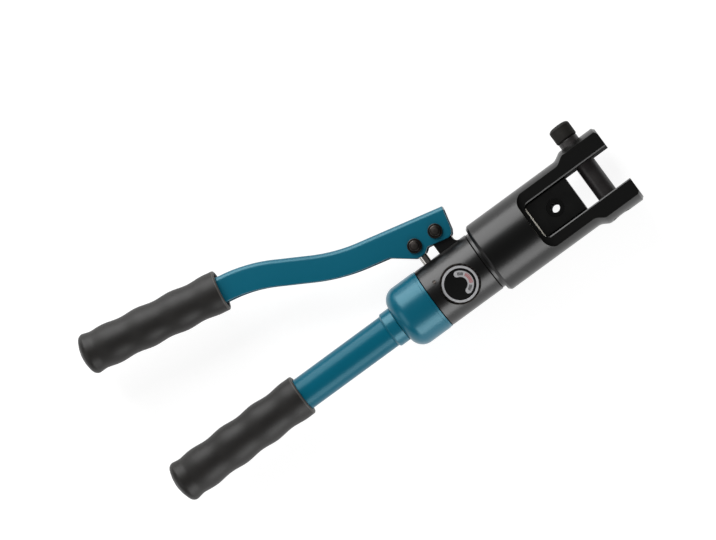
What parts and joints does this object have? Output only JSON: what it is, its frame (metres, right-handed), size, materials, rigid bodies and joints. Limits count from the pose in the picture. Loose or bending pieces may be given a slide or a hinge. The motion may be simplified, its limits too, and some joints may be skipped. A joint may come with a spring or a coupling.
{
  "type": "hydraulic crimping tool",
  "caption": "Hand-pumped hydraulic crimping tool: fork head with a sliding ram and a pull-out jaw pin, pump body with a hinged lever, turning release handle with rubber grips.",
  "frame": {"origin": "where the jaw pin's axis crosses the tool's long axis, in the middle of the fork", "axes": "+X along the tool to the fork's tip, +Y to the lever, +Z out of the side with the dial"},
  "size_m": [0.4214, 0.1723, 0.0594],
  "materials": {
    "black_head": "satin black oxide on machined steel",
    "black_body": "satin black paint",
    "blue_paint": "gloss teal blue paint",
    "grip_rubber": "matt moulded rubber",
    "seal_rubber": "smooth nitrile rubber",
    "dark_steel": "blackened steel",
    "bright_steel": "ground steel",
    "spring_steel": "drawn spring wire",
    "chrome": "hard chrome, ground",
    "bronze": "turned bronze",
    "dial": "black enamelled plate with a silver ring"
  },
  "bodies": {
    "pump": {"fork_head": "black_head", "rod_bush": "bronze", "head_lock_ring": "dark_steel", "pump_body": "black_body", "plunger_gland": "dark_steel", "plunger_seal": "seal_rubber", "suction_seat": "bronze", "suction_spring": "spring_steel", "delivery_cage": "bronze", "delivery_spring": "spring_steel", "relief_screw": "dark_steel", "relief_spring": "spring_steel", "passage_plug": "bright_steel", "dial_plate": "dial", "dial_bezel": "dark_steel", "reservoir_cap": "blue_paint", "cap_seal": "seal_rubber", "ram_return_spring": "spring_steel", "needle_seal": "seal_rubber"},
    "suction_valve": {"suction_ball": "bright_steel"},
    "delivery_valve": {"delivery_ball": "bright_steel"},
    "relief_valve": {"relief_ball": "bright_steel"},
    "ram": {"ram_piston": "bright_steel", "piston_seal": "seal_rubber", "ram_block": "black_head", "ram_bush": "dark_steel"},
    "jaw_pin": {"jaw_pin": "black_head", "pin_knob": "black_head", "pin_ring": "seal_rubber"},
    "lever": {"lever_channel": "blue_paint", "lever_grip": "grip_rubber", "pivot_bolt": "dark_steel", "plunger_bolt": "dark_steel", "bolt_nuts": "dark_steel"},
    "plunger": {"pump_plunger": "chrome"},
    "handle": {"handle_collar": "blue_paint", "handle_tube": "blue_paint", "handle_grip": "grip_rubber", "release_needle": "bright_steel", "oil_bladder": "seal_rubber", "bladder_clamp": "bright_steel", "tube_plug": "dark_steel", "collar_clip": "spring_steel"}
  },
  "joints": [
    {"name": "lever_swing", "type": "hinge", "parent": "pump", "child": "lever", "pos_m": [-0.1219, 0.0403, 0], "axis": [0, 0, 1], "range_deg": [-5, 15]},
    {"name": "plunger_stroke", "type": "slide", "parent": "pump", "child": "plunger", "axis": [0, -1, 0], "range_m": [-0.0018, 0.0053]},
    {"name": "ram_slide", "type": "slide", "parent": "pump", "child": "ram", "axis": [1, 0, 0], "range_m": [0, 0.01], "stiffness_N_per_m": 4000, "springref_m": -0.01, "deforming": ["ram_return_spring"]},
    {"name": "pin_pull", "type": "slide", "parent": "pump", "child": "jaw_pin", "axis": [0, 1, 0], "range_m": [0, 0.068]},
    {"name": "handle_turn", "type": "hinge", "parent": "pump", "child": "handle", "pos_m": [-0.2, 0, 0], "axis": [1, 0, 0], "range_deg": [0, 90]},
    {"name": "suction_lift", "type": "slide", "parent": "pump", "child": "suction_valve", "axis": [1, 0, 0], "range_m": [0, 0.0008], "stiffness_N_per_m": 100, "springref_m": -0.002, "deforming": ["suction_spring"]},
    {"name": "delivery_lift", "type": "slide", "parent": "pump", "child": "delivery_valve", "axis": [1, 0, 0], "range_m": [0, 0.0008], "stiffness_N_per_m": 100, "springref_m": -0.002, "deforming": ["delivery_spring"]},
    {"name": "relief_lift", "type": "slide", "parent": "pump", "child": "relief_valve", "axis": [-1, 0, 0], "range_m": [0, 0.0008], "stiffness_N_per_m": 400, "springref_m": -0.002, "deforming": ["relief_spring"]}
  ],
  "couplings": [
    {"joint": "plunger_stroke", "follows": "lever_swing", "m_per_rad": 0.0193}
  ]
}
